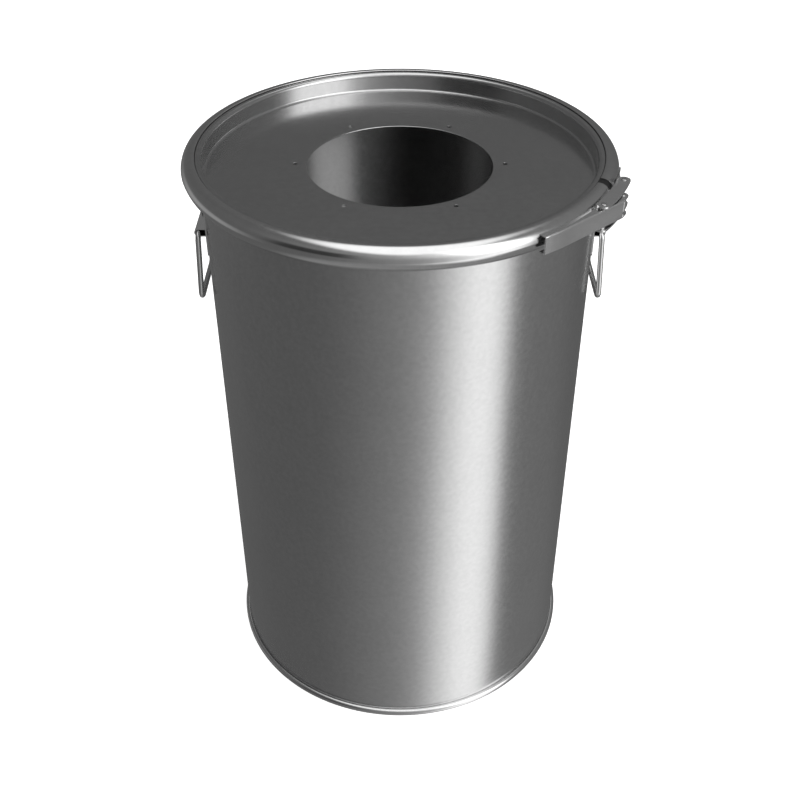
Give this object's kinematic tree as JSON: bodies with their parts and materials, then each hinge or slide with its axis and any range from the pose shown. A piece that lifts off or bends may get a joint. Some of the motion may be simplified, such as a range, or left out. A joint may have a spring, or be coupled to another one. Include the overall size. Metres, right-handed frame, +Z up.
{
  "type": "open-head steel drum",
  "caption": "Straight-sided stainless steel drum with a recessed lid that has a round opening, a clamp ring with a lever closure, and wire bail handles.",
  "frame": {"origin": "on the drum's axis, at the plane the base chime stands on", "axes": "+Z up along the drum's axis, +X towards the right-hand bail handle, the lever closure between +X and -Y"},
  "size_m": [0.49, 0.49, 0.727],
  "materials": {
    "body_steel": "satin stainless sheet",
    "lid_steel": "satin stainless pressing",
    "ring_steel": "bright rolled stainless",
    "closure_steel": "satin pressed steel",
    "bracket_steel": "satin pressed steel",
    "wire_steel": "polished wire",
    "pin_steel": "bright turned pins",
    "weld_steel": "brushed weld bead",
    "gasket_rubber": "matt black rubber",
    "sealant": "grey sealing compound"
  },
  "bodies": {
    "drum": {"drum_shell": "body_steel", "mouth_bead": "ring_steel", "side_seam_weld": "weld_steel", "drum_base": "body_steel", "base_chime": "ring_steel", "chime_sealant": "sealant", "lid": "lid_steel", "lid_gasket": "gasket_rubber", "clamp_ring": "ring_steel", "fulcrum_bracket": "closure_steel", "fulcrum_bracket_welds": "weld_steel", "catch_bracket": "closure_steel", "catch_bracket_welds": "weld_steel", "fulcrum_pin": "pin_steel", "handle_bracket_right": "bracket_steel", "handle_bracket_welds_right": "weld_steel", "handle_bracket_left": "bracket_steel", "handle_bracket_welds_left": "weld_steel"},
    "lever": {"closure_lever": "closure_steel", "link_lever_pin": "pin_steel", "link_washers": "pin_steel"},
    "link": {"closure_link": "closure_steel", "link_catch_pin": "pin_steel"},
    "bail_right": {"bail_handle_right": "wire_steel"},
    "bail_left": {"bail_handle_left": "wire_steel"}
  },
  "joints": [
    {"name": "lever_swing", "type": "hinge", "parent": "drum", "child": "lever", "pos_m": [0.23241, -0.11634, 0.7057], "axis": [0, 0, 1], "range_deg": [0, 110]},
    {"name": "link_swing", "type": "hinge", "parent": "lever", "child": "link", "pos_m": [0.20784, -0.14496, 0.7057], "axis": [0, 0, 1], "range_deg": [-83, 0]},
    {"name": "bail_right_swing", "type": "hinge", "parent": "drum", "child": "bail_right", "pos_m": [0.2302, 0, 0.631], "axis": [0, -1, 0], "range_deg": [0, 150]},
    {"name": "bail_left_swing", "type": "hinge", "parent": "drum", "child": "bail_left", "pos_m": [-0.2302, 0, 0.631], "axis": [0, 1, 0], "range_deg": [0, 150]}
  ],
  "couplings": [
    {"joint": "link_swing", "follows": "lever_swing", "ratio": -0.75}
  ]
}
